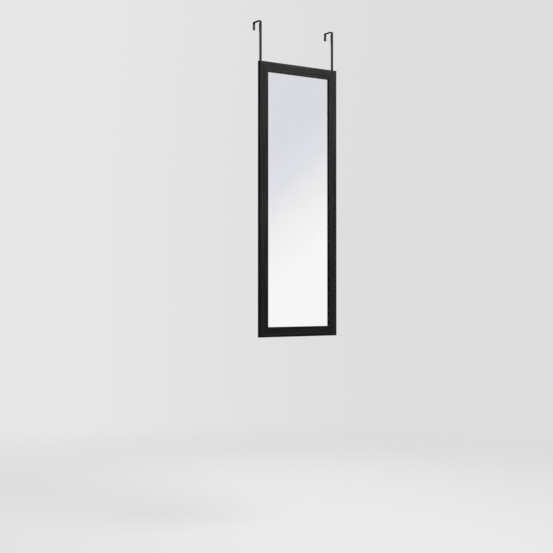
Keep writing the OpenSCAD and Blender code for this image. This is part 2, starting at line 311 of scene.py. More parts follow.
def set_world():
    """Pale behind the object, dim all round for soft light, and a soft gradient for the glass."""
    world = bpy.data.worlds.new("studio")
    world.use_nodes = True
    bpy.context.scene.world = world
    tree = world.node_tree
    tree.nodes.clear()
    direction = put(tree, "TexCoord").outputs["Generated"]
    axes = put(tree, "SeparateXYZ", {0: direction}).outputs
    aside = calc(tree, "SUBTRACT", axes["X"], SKY_CENTRE)
    aside = calc(tree, "MINIMUM", calc(tree, "MAXIMUM", aside, -SKY_REACH), SKY_REACH)
    height = calc(tree, "MULTIPLY_ADD", aside, -SKY_SLOPE, axes["Z"])
    shifted = calc(tree, "ADD", height, SKY_SHIFT, clamp=True)
    sky = ramp(tree, shifted, [(place + SKY_SHIFT, colour) for place, colour in SKY_STOPS])
    pale = ramp(tree, axes["X"], PALE_STOPS)
    front, back = [put(tree, "VectorMath", {0: direction, 1: centre}, operation="DOT_PRODUCT")
                   .outputs["Value"] for centre in (SOFT_FRONT, SOFT_BACK)]
    soft = calc(tree, "ADD", spread(tree, front, SOFT_FRONT_FROM, 1.0, SOFT_LOW, SOFT_HIGH),
                spread(tree, back, SOFT_BACK_FROM, 1.0, 0.0, SOFT_BEHIND))
    path = put(tree, "LightPath").outputs
    dim = put(tree, "Background", {"Color": (1.0, 1.0, 1.0, 1.0), "Strength": soft})
    pale = put(tree, "Background", {"Color": pale})
    mirrored = put(tree, "Background", {"Color": sky})
    seen = put(tree, "MixShader", {0: path["Is Camera Ray"], 1: dim.outputs[0], 2: pale.outputs[0]})
    sharp = calc(tree, "MAXIMUM", path["Is Singular Ray"], path["Is Transmission Ray"])
    done = put(tree, "MixShader", {0: sharp, 1: seen.outputs[0], 2: mirrored.outputs[0]})
    put(tree, "OutputWorld", {"Surface": done.outputs[0]})


def add_lamp(name, place, size, power, mirrored):
    turn = (Vector(LAMP_AIM) - Vector(place)).to_track_quat("-Z", "Y").to_euler()
    bpy.ops.object.light_add(type="AREA", location=place, rotation=turn)
    lamp = bpy.context.object
    lamp.name = name
    lamp.data.size = size
    lamp.data.energy = power
    lamp.visible_glossy = mirrored
    lamp.visible_transmission = mirrored


def set_lamps():
    """The two front lamps don't show in the glass."""
    add_lamp("key_lamp", KEY_PLACE, KEY_SIZE, KEY_POWER, False)
    add_lamp("fill_lamp", FILL_PLACE, FILL_SIZE, FILL_POWER, False)
    add_lamp("back_lamp", BACK_PLACE, BACK_SIZE, BACK_POWER, True)


def floor_material():
    """Pale floor that keeps a soft shadow and fades into the background at its rim."""
    material = bpy.data.materials.new("pale_floor")
    material.use_nodes = True
    tree = material.node_tree
    tree.nodes.clear()
    place = put(tree, "TexCoord").outputs["Object"]
    flat = put(tree, "VectorMath", {0: place, 1: (1.0, 1.0, 0.0)}, operation="MULTIPLY")
    distance = put(tree, "VectorMath", {0: flat.outputs[0]}, operation="LENGTH").outputs["Value"]
    fade = spread(tree, distance, FLOOR_FADE_FROM, FLOOR_RADIUS)
    path = put(tree, "LightPath").outputs
    shown = calc(tree, "MAXIMUM", path["Is Camera Ray"], path["Is Singular Ray"])
    glow = put(tree, "Emission", {"Color": FLOOR_GLOW, "Strength": shown})
    matte = put(tree, "BsdfDiffuse", {"Color": FLOOR_GREY})
    solid = put(tree, "AddShader", {0: glow.outputs[0], 1: matte.outputs[0]})
    clear = put(tree, "BsdfTransparent")
    done = put(tree, "MixShader", {0: fade, 1: solid.outputs[0], 2: clear.outputs[0]})
    put(tree, "OutputMaterial", {"Surface": done.outputs[0]})
    return material


def add_floor():
    bpy.ops.mesh.primitive_circle_add(vertices=FLOOR_SIDES, radius=FLOOR_RADIUS, fill_type="NGON",
                                      location=(0.0, 0.0, FLOOR_Z))
    floor = bpy.context.object
    floor.name = "floor"
    floor.data.materials.append(floor_material())


set_colours()
set_camera()
set_world()
set_lamps()
add_floor()


# ---- Effects that several finishes share ----

# Wear shows where its noise is over a limit, which the amount of wear lowers
WEAR_LIMIT = 0.78
WEAR_REACH = 0.4
WEAR_SHARPNESS = 9.0


def start_group(name, inputs, outputs):
    """A shader node group with named sockets; returns it, its inputs and its outputs."""
    group = bpy.data.node_groups.new(name, "ShaderNodeTree")
    for socket, (kind, value) in inputs.items():
        made = group.interface.new_socket(socket, in_out="INPUT", socket_type="NodeSocket" + kind)
        if value is not None:
            made.default_value = value
    for socket in outputs:
        group.interface.new_socket(socket, in_out="OUTPUT", socket_type="NodeSocketFloat")
    source = group.nodes.new("NodeGroupInput").outputs
    sink = group.nodes.new("NodeGroupOutput").inputs
    return group, source, sink


def stretch(tree, vector, along, across):
    """A vector for a pattern that is drawn out along X."""
    inputs = {0: vector, 1: (along, across, across)}
    return put(tree, "VectorMath", inputs, operation="MULTIPLY").outputs[0]


def make_grain():
    """Grain along X: rings, bands and streaks about one half, and the mask of short open pores."""
    group, given, result = start_group(
        "grain", {"Vector": ("Vector", None), "Fineness": ("Float", 1.0)},
        ["Tone", "Height", "Pores"])
    vector, fineness = given["Vector"], given["Fineness"]
    streaks = noise(group, stretch(group, vector, along=30.0, across=900.0), fineness,
                    detail=3.0, roughness=0.65)
    bands = noise(group, stretch(group, vector, along=6.0, across=170.0), fineness,
                  detail=3.0, roughness=0.6)
    bands = spread(group, bands, 0.36, 0.64)
    inputs = {"Vector": stretch(group, vector, along=5.0, across=190.0), "Scale": fineness,
              "Distortion": 3.0, "Detail": 3.0, "Detail Scale": 1.4, "Detail Roughness": 0.6}
    rings = put(group, "TexWave", inputs, bands_direction="DIAGONAL").outputs["Fac"]
    slits = noise(group, stretch(group, vector, along=110.0, across=3600.0), fineness,
                  detail=1.0, roughness=0.5)
    tone = calc(group, "MULTIPLY_ADD", rings, 0.25, calc(group, "MULTIPLY", streaks, 0.35))
    tone = calc(group, "MULTIPLY_ADD", bands, 0.4, tone)
    pores = spread(group, slits, 0.60, 0.68)
    height = calc(group, "MULTIPLY_ADD", pores, -0.8, streaks)
    for socket, value in (("Tone", tone), ("Height", height), ("Pores", pores)):
        group.links.new(value, result[socket])
    return group


def make_peel():
    """The soft pebbling of sprayed or baked paint; Speck is a finer mask."""
    group, given, result = start_group(
        "peel", {"Vector": ("Vector", None), "Scale": ("Float", 700.0)}, ["Height", "Speck"])
    pebbles = noise(group, given["Vector"], given["Scale"], detail=1.0, roughness=0.4)
    group.links.new(pebbles, result["Height"])
    finer = calc(group, "MULTIPLY", given["Scale"], 3.1)
    specks = spread(group, noise(group, given["Vector"], finer), 0.45, 0.7)
    group.links.new(specks, result["Speck"])
    return group


def make_cells():
    """Closed cells of foam: Height falls at the walls, Tone differs from cell to cell."""
    group, given, result = start_group(
        "cells", {"Vector": ("Vector", None), "Scale": ("Float", 1000.0)}, ["Height", "Tone"])
    inputs = {"Vector": given["Vector"], "Scale": given["Scale"]}
    cell = put(group, "TexVoronoi", inputs, feature="F1")
    group.links.new(calc(group, "SUBTRACT", 1.0, cell.outputs["Distance"]), result["Height"])
    grey = put(group, "RGBToBW", {0: cell.outputs["Color"]})
    group.links.new(grey.outputs[0], result["Tone"])
    return group


def make_wear():
    """Where a marked edge is rubbed: the mark times a broken noise."""
    group, given, result = start_group(
        "wear", {"Vector": ("Vector", None), "Mark": ("Float", 0.0), "Amount": ("Float", 0.5)},
        ["Mask"])
    patches = noise(group, given["Vector"], scale=260.0, detail=4.0, roughness=0.7)
    limit = calc(group, "SUBTRACT", WEAR_LIMIT, calc(group, "MULTIPLY", given["Amount"], WEAR_REACH))
    over = calc(group, "SUBTRACT", patches, limit)
    over = calc(group, "MULTIPLY", over, WEAR_SHARPNESS, clamp=True)
    group.links.new(calc(group, "MULTIPLY", over, given["Mark"]), result["Mask"])
    return group


GRAIN = make_grain()
PEEL = make_peel()
CELLS = make_cells()
WEAR = make_wear()


# ---- Finishes ----

# Linear colours
LACQUER_DEEP = (0.0084, 0.0085, 0.0081)
LACQUER_THIN = (0.0182, 0.0182, 0.0172)
# Lighter lacquer that paints a highlight along the crest and the outer arris
LACQUER_HIGHLIGHT = (0.030, 0.030, 0.029)
WOOD_DARK = (0.37, 0.245, 0.135)
WOOD_PALE = (0.50, 0.355, 0.210)
WOOD_PORE = (0.21, 0.125, 0.065)
GLASS_GREEN = (0.972, 0.982, 0.978)
GLASS_CLEAR = (0.980, 0.988, 0.984)
SILVER_DULL = (0.950, 0.953, 0.955)
SILVER_BRIGHT = (0.960, 0.962, 0.962)
LINER_SHADE = (0.76, 0.76, 0.74)
LINER_WHITE = (0.86, 0.86, 0.85)
FIBRE_DARK = (0.175, 0.095, 0.048)
FIBRE_PALE = (0.375, 0.232, 0.130)
SCREEN_PRINT = (0.14, 0.078, 0.040)
STEEL_BRIGHT = (0.60, 0.60, 0.61)
STEEL_DULL = (0.44, 0.43, 0.42)
COAT_BLACK = (0.0130, 0.0130, 0.0135)
COAT_SPECK = (0.0195, 0.0195, 0.0200)
COAT_WORN = (0.075, 0.075, 0.078)
PAD_DARK = (0.035, 0.035, 0.037)
PAD_PALE = (0.068, 0.068, 0.070)
ZINC_BLUE = (0.62, 0.64, 0.68)
ZINC_STRAW = (0.68, 0.66, 0.60)
RUBBER_BLACK = (0.016, 0.016, 0.016)
RUBBER_BLOOM = (0.036, 0.036, 0.038)


def start_material(name, **constants):
    """A material with a Principled shader, some of whose sockets are set, and Object coordinates."""
    material = bpy.data.materials.new(name)
    material.use_nodes = True
    tree = material.node_tree
    tree.nodes.clear()
    inputs = {key.replace("_", " "): value for key, value in constants.items()}
    shader = put(tree, "BsdfPrincipled", inputs)
    put(tree, "OutputMaterial", {"Surface": shader.outputs[0]})
    place = put(tree, "TexCoord").outputs["Object"]
    return material, tree, shader.inputs, place


def connect(tree, sockets, **sources):
    for name, source in sources.items():
        tree.links.new(source, sockets[name.replace("_", " ")])


def bump(tree, height, distance, strength=1.0, normal=None):
    inputs = {"Height": height, "Distance": distance, "Strength": strength}
    if normal:
        inputs["Normal"] = normal
    return put(tree, "Bump", inputs).outputs[0]


def side_distance(tree, place):
    """Distance from the nearest outer side of the frame, as seen from the front."""
    axes = put(tree, "SeparateXYZ", {0: place}).outputs
    aside = calc(tree, "SUBTRACT", FRAME_X, calc(tree, "ABSOLUTE", axes["X"]))
    level = calc(tree, "ABSOLUTE", calc(tree, "SUBTRACT", axes["Z"], MIDDLE_Z))
    return calc(tree, "MINIMUM", aside, calc(tree, "SUBTRACT", (TOP_Z - BOTTOM_Z) / 2, level))


def lacquered_wood(name, grain_turn):
    """Black lacquer over fine grain, with a painted highlight of lighter lacquer along the crest and the outer
    arris; the back is bare wood with a ragged edge of overspray."""
    material, tree, shader, place = start_material(name, Specular_IOR_Level=0.15)
    along = put(tree, "Mapping", {"Vector": place, "Rotation": (0.0, grain_turn, 0.0)}).outputs[0]
    grain = put(tree, "Group", {"Vector": along}, node_tree=GRAIN).outputs
    peel = put(tree, "Group", {"Vector": place, "Scale": 420.0}, node_tree=PEEL).outputs
    black = mix(tree, spread(tree, grain["Tone"], 0.2, 0.8), LACQUER_DEEP, LACQUER_THIN)
    aside = side_distance(tree, place)
    depth = put(tree, "SeparateXYZ", {0: place}).outputs["Y"]
    # Painted highlight: lighter lacquer along the crest, and on the outer arris near the front
    off_crest = calc(tree, "ABSOLUTE", calc(tree, "SUBTRACT", aside, CREST_W))
    crest = spread(tree, off_crest, 0.0, CREST_HIGHLIGHT_W, to_low=0.3, to_high=0.0)
    arris = spread(tree, depth, ARRIS_Y, ARRIS_Y + OUTER_EASE, to_low=0.2, to_high=0.0)
    highlight_reach = spread(tree, aside, 0.0, ARRIS_HIGHLIGHT_REACH, to_low=1.0, to_high=0.0)
    arris = calc(tree, "MULTIPLY", highlight_reach, arris)
    black = mix(tree, calc(tree, "MAXIMUM", crest, arris), black, LACQUER_HIGHLIGHT)
    pale = mix(tree, spread(tree, grain["Tone"], 0.1, 0.9), WOOD_DARK, WOOD_PALE)
    pale = mix(tree, calc(tree, "MULTIPLY", grain["Pores"], 0.45), pale, WOOD_PORE)
    spray = noise(tree, place, scale=120.0, detail=4.0, roughness=0.65)
    ragged = calc(tree, "MULTIPLY_ADD", spray, OVERSPRAY, depth)
    bare = spread(tree, ragged, BACK_Y - 0.1 * MM, BACK_Y + 0.25 * MM)
    rough = calc(tree, "MULTIPLY_ADD", grain["Height"], 0.14, 0.40)
    rough = calc(tree, "MULTIPLY_ADD", bare, 0.35, rough)
    normal = bump(tree, grain["Height"], 0.05 * MM, strength=0.5)
    normal = bump(tree, peel["Height"], 0.04 * MM, strength=0.35, normal=normal)
    connect(tree, shader, Base_Color=mix(tree, bare, black, pale), Roughness=rough, Normal=normal)
    return material


def clear_glass():
    """Clear float glass with a faint, slightly uneven green."""
    material, tree, shader, place = start_material(
        "clear_glass", Roughness=0.0, IOR=1.52, Transmission_Weight=1.0)
    cloud = spread(tree, noise(tree, place, scale=7.0, detail=3.0), 0.3, 0.7)
    connect(tree, shader, Base_Color=mix(tree, cloud, GLASS_GREEN, GLASS_CLEAR))
    return material


def silver_coat():
    """Silver laid on the back of the glass, with the faintest cloudiness."""
    material, tree, shader, place = start_material("silver_coat", Metallic=1.0, Roughness=0.0)
    cloud = spread(tree, noise(tree, place, scale=11.0, detail=3.0), 0.3, 0.7)
    connect(tree, shader, Base_Color=mix(tree, cloud, SILVER_DULL, SILVER_BRIGHT))
    return material


def white_foam():
    material, tree, shader, place = start_material("liner_foam", Specular_IOR_Level=0.3)
    cells = put(tree, "Group", {"Vector": place, "Scale": 1400.0}, node_tree=CELLS).outputs
    colour = mix(tree, cells["Tone"], LINER_SHADE, LINER_WHITE)
    rough = spread(tree, cells["Height"], 0.0, 1.0, to_low=0.75, to_high=0.92)
    connect(tree, shader, Base_Color=colour, Roughness=rough,
            Normal=bump(tree, cells["Height"], 0.15 * MM, strength=0.5))
    return material


def hardboard():
    """Brown pressed fibres with the print of the press's wire screen on the back."""
    material, tree, shader, place = start_material("fibreboard", Specular_IOR_Level=0.25)
    fibres = noise(tree, place, scale=900.0, detail=4.0, roughness=0.7)
    clouds = noise(tree, place, scale=26.0, detail=3.0, roughness=0.6)
    tone = calc(tree, "MULTIPLY_ADD", fibres, 0.85, calc(tree, "MULTIPLY", clouds, 0.15))
    colour = mix(tree, spread(tree, tone, 0.33, 0.67), FIBRE_DARK, FIBRE_PALE)
    waves = [put(tree, "TexWave", {"Vector": place, "Scale": 150.0, "Distortion": 0.6},
                 wave_type="BANDS", bands_direction=axis).outputs["Fac"] for axis in ("X", "Z")]
    screen = calc(tree, "MAXIMUM", *waves)
    dark = mix(tree, spread(tree, screen, 0.35, 0.95), SCREEN_PRINT, colour)
    rough = spread(tree, fibres, 0.3, 0.7, to_low=0.62, to_high=0.86)
    normal = bump(tree, screen, 0.12 * MM, strength=0.6)
    normal = bump(tree, fibres, 0.08 * MM, strength=0.5, normal=normal)
    connect(tree, shader, Base_Color=mix(tree, 0.7, dark, colour), Roughness=rough, Normal=normal)
    return material


def sheared_steel():
    """Plain steel strip, drawn lines across it and dull patches of oil and handling."""
    material, tree, shader, place = start_material("nail_steel", Metallic=1.0)
    drawn = put(tree, "Group", {"Vector": place, "Fineness": 1.6}, node_tree=GRAIN).outputs
    dull = spread(tree, noise(tree, place, scale=240.0, detail=3.0, roughness=0.6), 0.4, 0.65)
    colour = mix(tree, dull, STEEL_BRIGHT, STEEL_DULL)
    rough = calc(tree, "MULTIPLY_ADD", drawn["Tone"], 0.3, calc(tree, "MULTIPLY_ADD", dull, 0.15, 0.15))
    connect(tree, shader, Base_Color=colour, Roughness=rough,
            Normal=bump(tree, drawn["Height"], 0.02 * MM, strength=0.6))
    return material


def powder_coat():
    """Satin black powder coat with soft pebbling, rubbed to a grey at the strap's eased edges."""
    material, tree, shader, place = start_material("hook_black", Specular_IOR_Level=0.3)
    peel = put(tree, "Group", {"Vector": place, "Scale": 900.0}, node_tree=PEEL).outputs
    mark = put(tree, "Attribute", attribute_name="eased").outputs["Fac"]
    worn = put(tree, "Group", {"Vector": place, "Mark": mark, "Amount": 0.45},
               node_tree=WEAR).outputs["Mask"]
    black = mix(tree, peel["Speck"], COAT_BLACK, COAT_SPECK)
    rough = calc(tree, "MULTIPLY_ADD", peel["Height"], 0.16, 0.36)
    rough = calc(tree, "MULTIPLY_ADD", worn, -0.12, rough)
    connect(tree, shader, Base_Color=mix(tree, worn, black, COAT_WORN), Roughness=rough,
            Normal=bump(tree, peel["Height"], 0.06 * MM, strength=0.5))
    return material


def dark_foam():
    material, tree, shader, place = start_material("pad_foam", Specular_IOR_Level=0.2)
    cells = put(tree, "Group", {"Vector": place, "Scale": 1900.0}, node_tree=CELLS).outputs
    colour = mix(tree, cells["Tone"], PAD_DARK, PAD_PALE)
    rough = spread(tree, cells["Height"], 0.0, 1.0, to_low=0.82, to_high=0.95)
    connect(tree, shader, Base_Color=colour, Roughness=rough,
            Normal=bump(tree, cells["Height"], 0.12 * MM, strength=0.7))
    return material


def zinc_plate():
    """Bright zinc with a faint blue and straw mottle."""
    material, tree, shader, place = start_material("screw_zinc", Metallic=1.0)
    mottle = spread(tree, noise(tree, place, scale=420.0, detail=3.0, roughness=0.6), 0.35, 0.65)
    colour = mix(tree, mottle, ZINC_BLUE, ZINC_STRAW)
    rough = spread(tree, noise(tree, place, scale=1500.0), 0.3, 0.7, to_low=0.28, to_high=0.42)
    peel = put(tree, "Group", {"Vector": place, "Scale": 1500.0}, node_tree=PEEL).outputs
    connect(tree, shader, Base_Color=colour, Roughness=rough,
            Normal=bump(tree, peel["Height"], 0.02 * MM, strength=0.5))
    return material


def soft_rubber():
    """Moulded black rubber with a grey bloom."""
    material, tree, shader, place = start_material("bumper_rubber", Specular_IOR_Level=0.35)
    bloom = spread(tree, noise(tree, place, scale=180.0, detail=4.0, roughness=0.65), 0.42, 0.72)
    peel = put(tree, "Group", {"Vector": place, "Scale": 1300.0}, node_tree=PEEL).outputs
    colour = mix(tree, bloom, RUBBER_BLACK, RUBBER_BLOOM)
    rough = spread(tree, bloom, 0.0, 1.0, to_low=0.5, to_high=0.72)
    connect(tree, shader, Base_Color=colour, Roughness=rough,
            Normal=bump(tree, peel["Height"], 0.03 * MM, strength=0.5))
    return material


RAIL_WOOD = lacquered_wood("frame_black_rail", 0.0)
STILE_WOOD = lacquered_wood("frame_black_stile", math.pi / 2)
SILVER = silver_coat()
FINISHES = {
    "silvered_glass": clear_glass(),
    "liner_foam": white_foam(),
    "fibreboard": hardboard(),
    "nail_steel": sheared_steel(),
    "hook_black": powder_coat(),
    "pad_foam": dark_foam(),
    "screw_zinc": zinc_plate(),
    "bumper_rubber": soft_rubber(),
}


# ---- Modelling helpers ----

def open_piece(name):
    """Names the piece just added, applies its place and opens it in edit mode."""
    piece = bpy.context.object
    piece.name = name
    piece.data.name = name
    bpy.ops.object.transform_apply(location=True, rotation=True, scale=True)
    bpy.ops.object.mode_set(mode="EDIT")
    return piece


def add_sheet(name, size, place, turn):
    """A flat rectangle, open in edit mode."""
    bpy.ops.mesh.primitive_plane_add(size=1.0, location=place, rotation=turn)
    bpy.context.object.scale = (*size, 1.0)
    return open_piece(name)


def pick(piece, kind, test):
    """Selects in edit mode the points, edges or faces that pass the test.

    A point is tested by its place, an edge by its middle and direction, a face by its middle
    and normal."""
    bpy.ops.mesh.select_mode(type=kind)
    bpy.ops.mesh.select_all(action="DESELECT")
    shape = bmesh.from_edit_mesh(piece.data)
    if kind == "VERT":
        found = [point for point in shape.verts if test(point.co)]
    elif kind == "EDGE":
        ends = [(edge, edge.verts[0].co, edge.verts[1].co) for edge in shape.edges]
        found = [edge for edge, a, b in ends if test((a + b) / 2, (b - a).normalized())]
    else:
        found = [face for face in shape.faces if test(face.calc_center_median(), face.normal)]
    for element in found:
        element.select_set(True)
    bmesh.update_edit_mesh(piece.data)


def pick_all():
    bpy.ops.mesh.select_mode(type="VERT")
    bpy.ops.mesh.select_all(action="SELECT")


def move_points(piece, rule):
    """Moves every point, in edit mode, to where the rule puts it."""
    shape = bmesh.from_edit_mesh(piece.data)
    for point in shape.verts:
        point.co = rule(point.co)
    bmesh.update_edit_mesh(piece.data)


def extrude(offset):
    bpy.ops.mesh.extrude_region_move(TRANSFORM_OT_translate={"value": offset})


def slice_across(place, normal):
    """Adds a ring of edges where a plane cuts the whole piece."""
    pick_all()
    bpy.ops.mesh.bisect(plane_co=place, plane_no=normal)


def close_piece(piece, smooth=HARD_ANGLE):
    """Merges doubles, turns the normals outwards, leaves edit mode and smooths the shading."""
    pick_all()
    bpy.ops.mesh.remove_doubles(threshold=MERGE)
    bpy.ops.mesh.normals_make_consistent(inside=False)
    bpy.ops.object.mode_set(mode="OBJECT")
    bpy.ops.object.shade_smooth_by_angle(angle=math.radians(smooth))
    return piece


def choose(*pieces):
    """Selects only these pieces and makes the first one active."""
    bpy.ops.object.select_all(action="DESELECT")
    for piece in pieces:
        piece.select_set(True)
    bpy.context.view_layer.objects.active = pieces[0]


def finish_with(piece, kind, **settings):
    """Adds a modifier to a piece and applies it."""
    choose(piece)
    modifier = piece.modifiers.new(kind.title(), kind)
    for name, value in settings.items():
        setattr(modifier, name, value)
    bpy.ops.object.modifier_apply(modifier=modifier.name)


def cut(piece, *cutters):
    """Takes the cutters' shapes out of a piece."""
    for cutter in cutters:
        finish_with(piece, "BOOLEAN", operation="DIFFERENCE", solver="EXACT", object=cutter)


def discard(*pieces):
    for piece in pieces:
        bpy.data.meshes.remove(piece.data)


def copy_piece(piece, name):
    twin = piece.copy()
    twin.data = piece.data.copy()
    twin.name = name
    twin.data.name = name
    bpy.context.scene.collection.objects.link(twin)
    return twin


def shift(piece, offset):
    """Moves a piece's points, so that its object stays at the origin."""
    for point in piece.data.vertices:
        point.co += Vector(offset)


def join(name, pieces):
    choose(*pieces)
    bpy.ops.object.join()
    pieces[0].name = name
    pieces[0].data.name = name
    return pieces[0]


def lathe(name, outline, steps):
    """Spins an outline of (radius, height) points round +Y through the origin."""
    bpy.ops.mesh.primitive_plane_add(size=MM)
    piece = open_piece(name)
    pick_all()
    bpy.ops.mesh.merge(type="CENTER")
    bpy.ops.transform.translate(value=(*outline[0], 0.0))
    for here, there in zip(outline, outline[1:]):
        step = (there[0] - here[0], there[1] - here[1], 0.0)
        bpy.ops.mesh.extrude_vertices_move(TRANSFORM_OT_translate={"value": step})
    pick_all()
    bpy.ops.mesh.spin(steps=steps, angle=2 * math.pi, center=(0.0, 0.0, 0.0), axis=(0.0, 1.0, 0.0))
    return close_piece(piece)


def hand_over(piece, body, slot, material, *nodes):
    """Gives a finished piece its body and its material, and hides the nodes that it replaces; the slot is not
    used.
    """
    piece.data.materials.clear()
    piece.data.materials.append(material)
    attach(piece, body)
    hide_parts(*nodes)


# ---- Moulding ----

def face_height(across):
    """Height of the moulding's face above its back, at a distance from the outer side."""
    if across < CREST_W:
        return FRAME_D - SHOULDER_R + math.sqrt(SHOULDER_R ** 2 - (CREST_W - across) ** 2)
    aside = across - CREST_W - SCOOP_HALF
    return FRAME_D - SCOOP_DEPTH + SCOOP_R - math.sqrt(SCOOP_R ** 2 - aside ** 2)


def shape_section(name):
    """The moulding's section at x = 0: its outer side at z = 0, its back at y = 0."""
    ledge_y = LIP_T - FRAME_D
    place = (0.0, -FRAME_D / 2, -SOLID_W / 2)
    section = add_sheet(name, (SOLID_W, FRAME_D), place, (0.0, math.pi / 2, 0.0))
    # the lip grows out of the front part of the inner side
    pick(section, "EDGE", lambda middle, along: middle.z < NEAR - SOLID_W)
    bpy.ops.mesh.subdivide(number_cuts=1)
    pick(section, "VERT", lambda p: p.z < NEAR - SOLID_W and NEAR - FRAME_D < p.y < -NEAR)
    bpy.ops.transform.translate(value=(0.0, ledge_y + FRAME_D / 2, 0.0))
    pick(section, "EDGE", lambda middle, along: middle.z < NEAR - SOLID_W and middle.y < ledge_y)
    bpy.ops.mesh.extrude_edges_move(TRANSFORM_OT_translate={"value": (0.0, 0.0, -LIP_W)})
    pick(section, "EDGE", lambda middle, along: abs(middle.z + SOLID_W) < NEAR and middle.y < ledge_y)
    bpy.ops.mesh.dissolve_edges(use_verts=False)
    pick(section, "VERT", lambda p: abs(p.z + SOLID_W) < NEAR and p.y < NEAR - FRAME_D)
    bpy.ops.mesh.dissolve_verts()
    # round the lip, then give the face its shoulder, crest and scoop
    pick(section, "VERT", lambda p: p.z < NEAR - FACE_W and p.y < NEAR - FRAME_D)
    bpy.ops.mesh.bevel(offset=INNER_EDGE_R, segments=INNER_EDGE_STEPS, affect="VERTICES")
    pick(section, "EDGE", lambda middle, along: middle.y < NEAR - FRAME_D)
    bpy.ops.mesh.subdivide(number_cuts=FACE_CUTS)
    move_points(section, lambda p: p if p.y > INNER_EDGE_R - FRAME_D - NEAR
                else Vector((p.x, p.y + FRAME_D - face_height(-p.z), p.z)))
    pick(section, "VERT", lambda p: p.z > -NEAR and p.y < ledge_y)
    bpy.ops.mesh.bevel(offset=OUTER_EASE, segments=OUTER_EASE_STEPS, affect="VERTICES")
    pick(section, "VERT", lambda p: p.z > -NEAR and p.y > -NEAR)
    bpy.ops.mesh.bevel(offset=BACK_EASE, segments=BACK_EASE_STEPS, affect="VERTICES")
    return section


def model_moulding(name, length):
    """A length of moulding along +X, mitred at both ends, with its mitred edges just eased."""
    moulding = shape_section(name)
    pick_all()
    extrude((length, 0.0, 0.0))
    # each end is cut short, and its face goes out again inside a narrow sloping rim
    rim = JOINT_EASE * math.sqrt(2)
    for end, way in ((0.0, -1.0), (length, 1.0)):
        pick_all()
        bpy.ops.mesh.bisect(plane_co=(end - way * rim, 0.0, 0.0), plane_no=(way, 0.0, -1.0),
                            use_fill=True, clear_outer=True)
        pick(moulding, "FACE", lambda middle, normal: abs(normal.x) > 0.5
             and way * (middle.x - length / 2) > 0.0)
        bpy.ops.mesh.inset(thickness=JOINT_EASE)
        bpy.ops.transform.translate(value=(way * rim, 0.0, 0.0))
    return close_piece(moulding)


def node_cutter(node):
    """A copy of a node's solids, all picked in edit mode."""
    cutter = copy_piece(frame["nodes"][node], node + "_cutter")
    cutter.parent = None
    choose(cutter)
    bpy.ops.object.mode_set(mode="EDIT")
    pick_all()
    bpy.ops.mesh.remove_doubles(threshold=MERGE)
    bpy.ops.mesh.dissolve_limited(angle_limit=math.radians(FLAT_ANGLE))
    return cutter


def nail_cutter(aside):
    """Cutter for the nails' slots, moved across the mitres so that no edge lies in their planes:
    away from the rails, or away from the stiles if aside is negative."""
    nails = node_cutter("corner_nails")
    for facing in SIX_WAYS:
        grow = RUN_OUT if facing.y > 0.0 else WOOD_FIT
        pick(nails, "FACE", lambda middle, normal: normal.dot(facing) > FACING)
        bpy.ops.transform.translate(value=grow * facing)
    move_points(nails, lambda p: p + aside * Vector((math.copysign(1.0, p.x), 0.0,
                                                     math.copysign(1.0, MIDDLE_Z - p.z))))
    return close_piece(nails)


def driven_cutters():
    """Cutters for the holes of the retaining points and the screws."""
    points = node_cutter("retaining_points")
    bpy.ops.transform.shrink_fatten(value=WOOD_FIT, use_even_offset=True)
    close_piece(points)
    reach = SCREW_L + RUN_OUT
    outline = [(0.0, RUN_OUT), (SCREW_R + WOOD_FIT, RUN_OUT),
               (SCREW_R + WOOD_FIT, -reach), (0.0, -reach)]
    drill = lathe("drill", outline, DRILL_STEPS)
    drills = []
    for side in SIDES.values():
        for z in SCREW_ZS:
            drills.append(copy_piece(drill, "drill_copy"))
            shift(drills[-1], (side * STRAP_X, SEAT_Y, z))
    discard(drill)
    return points, join("drills", drills)


def add_mouldings():
    rail_nails = nail_cutter(MITRE_PLAY)
    stile_nails = nail_cutter(-MITRE_PLAY)
    cutters = driven_cutters()
    width = 2 * FRAME_X
    height = TOP_Z - BOTTOM_Z
    rail = (width, RAIL_WOOD, rail_nails)
    stile = (height, STILE_WOOD, stile_nails)
    lengths = [
        ("top_moulding", "top_rail", rail, (-FRAME_X, TOP_Z), 0.0),
        ("bottom_moulding", "bottom_rail", rail, (FRAME_X, BOTTOM_Z), math.pi),
        ("left_moulding", "left_stile", stile, (-FRAME_X, BOTTOM_Z), -math.pi / 2),
        ("right_moulding", "right_stile", stile, (FRAME_X, TOP_Z), math.pi / 2),
    ]
    for name, node, (length, wood, nails), (x, z), turn in lengths:
        moulding = model_moulding(name, length)
        moulding.rotation_euler = (0.0, turn, 0.0)
        moulding.location = (x, BACK_Y, z)
        choose(moulding)
        bpy.ops.object.transform_apply(location=True, rotation=True, scale=True)
        cut(moulding, nails, *cutters)
        bpy.ops.object.mode_set(mode="EDIT")
        close_piece(moulding)
        hand_over(moulding, "mirror", "frame_black", wood, node)
    discard(rail_nails, stile_nails, *cutters)


add_mouldings()


# ---- Straps ----

def bend(point):
    """Where a point of the flat blank goes: z runs from the foot, -y is the blank's thickness."""
    depth = -point.y
    run = point.z - FRONT_BEND_Z
    if run <= 0:
        return Vector((point.x, STRAP_BACK_Y - depth, point.z))
    if run < FRONT_ARC:
        angle = run / FRONT_BEND_R
        reach = FRONT_BEND_R + depth
        return Vector((point.x, FRONT_BEND_Y - reach * math.cos(angle),
                       FRONT_BEND_Z + reach * math.sin(angle)))
    run -= FRONT_ARC
    if run < ARM_RUN:
        return Vector((point.x, FRONT_BEND_Y + run, ARM_Z + depth))
    run -= ARM_RUN
    if run < REAR_ARC:
        angle = run / REAR_BEND_R
        reach = REAR_BEND_R + depth
        return Vector((point.x, REAR_BEND_Y + reach * math.sin(angle),
                       REAR_BEND_Z + reach * math.cos(angle)))
    return Vector((point.x, LEG_Y + depth, REAR_BEND_Z - run + REAR_ARC))


